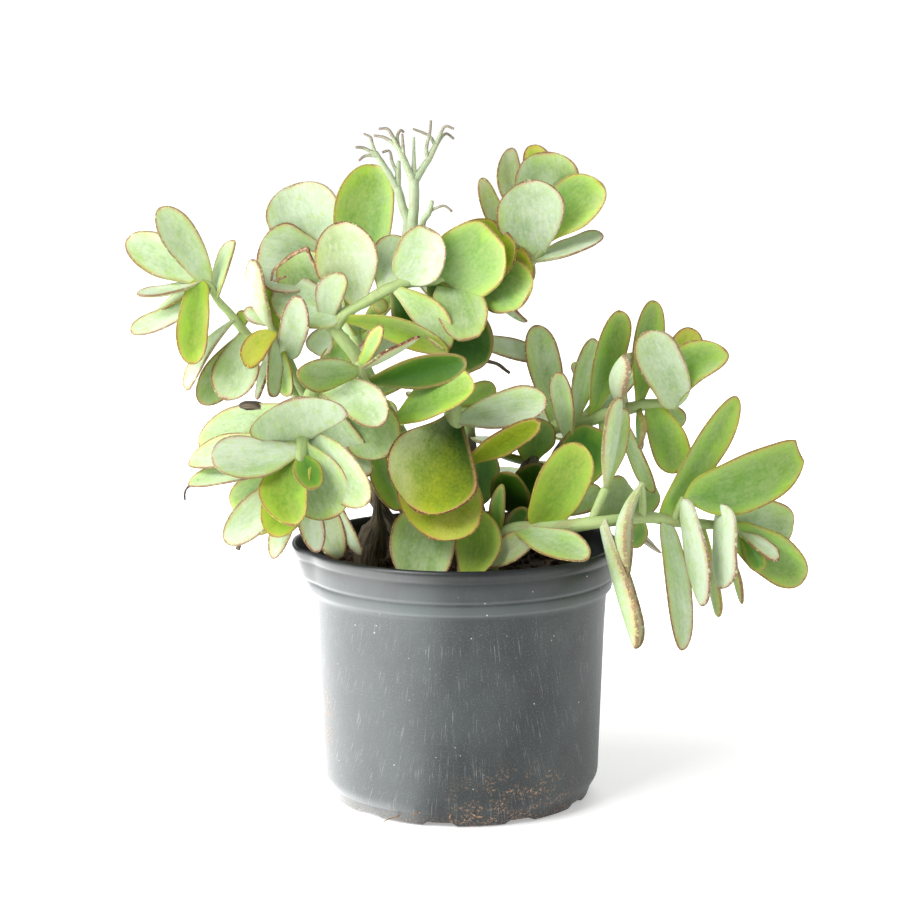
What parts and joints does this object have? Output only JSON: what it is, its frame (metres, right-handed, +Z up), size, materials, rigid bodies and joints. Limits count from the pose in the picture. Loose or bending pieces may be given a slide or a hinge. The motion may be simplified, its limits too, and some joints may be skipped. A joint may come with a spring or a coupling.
{
  "type": "potted kalanchoe",
  "caption": "Sprawling jade-like succulent with thick oval leaves on woody stems and dry flower stalks, standing in soil in a tapered round nursery pot.",
  "frame": {"origin": "centre of the pot's flat bottom, on the surface that the pot stands on", "axes": "+Z up along the pot's axis, -Y towards the side that the picture shows, +X to the right in the picture"},
  "size_m": [0.4136, 0.2344, 0.4141],
  "materials": {
    "pot_plastic": "thin black nursery plastic with a dull sheen, pale scratches and soil dust",
    "soil": "dark damp crumbly potting soil",
    "leaf": "fleshy waxy green leaves, pale bloom on the backs, yellow and red-brown margins"
  },
  "bodies": {
    "root": {"pot": "pot_plastic", "soil": "soil", "shoot_left_high": "leaf", "shoot_crown": "leaf", "shoot_centre": "leaf", "shoot_middle": "leaf", "shoot_front": "leaf", "shoot_left_low": "leaf", "shoot_right_high": "leaf", "shoot_right_low": "leaf", "shoot_back_left": "leaf", "shoot_back_middle": "leaf", "shoot_back_right": "leaf"}
  },
  "joints": []
}
